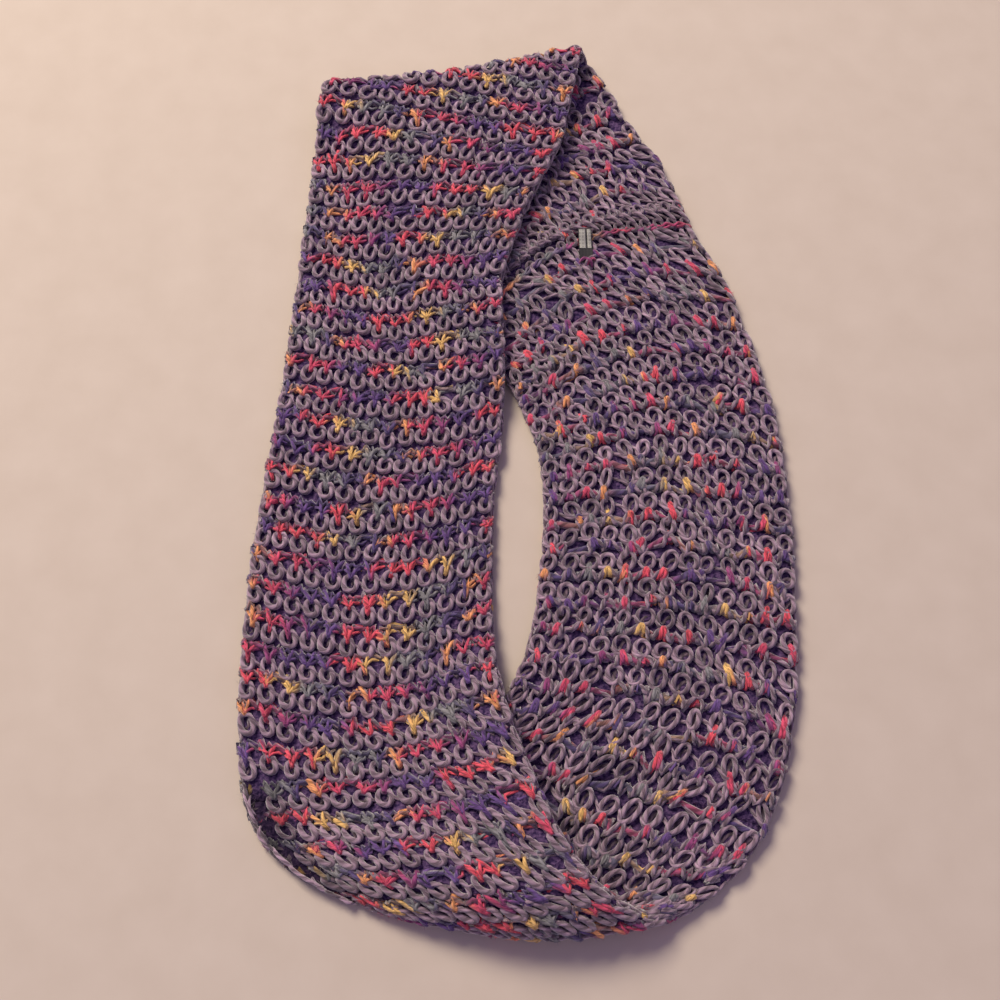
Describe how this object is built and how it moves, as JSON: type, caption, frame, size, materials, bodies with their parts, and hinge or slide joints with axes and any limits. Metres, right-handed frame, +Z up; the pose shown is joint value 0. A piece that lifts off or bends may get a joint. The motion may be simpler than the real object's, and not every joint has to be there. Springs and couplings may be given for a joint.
{
  "type": "infinity scarf",
  "caption": "Hand-knitted infinity scarf: a thick ribbed wool strip sewn end to end into a loop, lying flat with a sharp fold at one end and a soft round fold at the other.",
  "frame": {"origin": "centre of the bounding box at its bottom face, on the surface that the scarf lies on", "axes": "+Y along the scarf towards its sharp fold, +X across it from the front stretch to the back stretch, +Z up from the surface"},
  "size_m": [0.3729, 0.6659, 0.0425],
  "materials": {
    "yarn": "fuzzy hand-knitted wool, taupe grey worked together with a thin yarn that changes colour",
    "label": "matt woven ribbon"
  },
  "bodies": {
    "root": {"front_stretch": "yarn", "top_fold": "yarn", "back_stretch_upper": "yarn", "end_seam": "yarn", "back_stretch": "yarn", "bottom_fold": "yarn", "label": "label"}
  },
  "joints": []
}
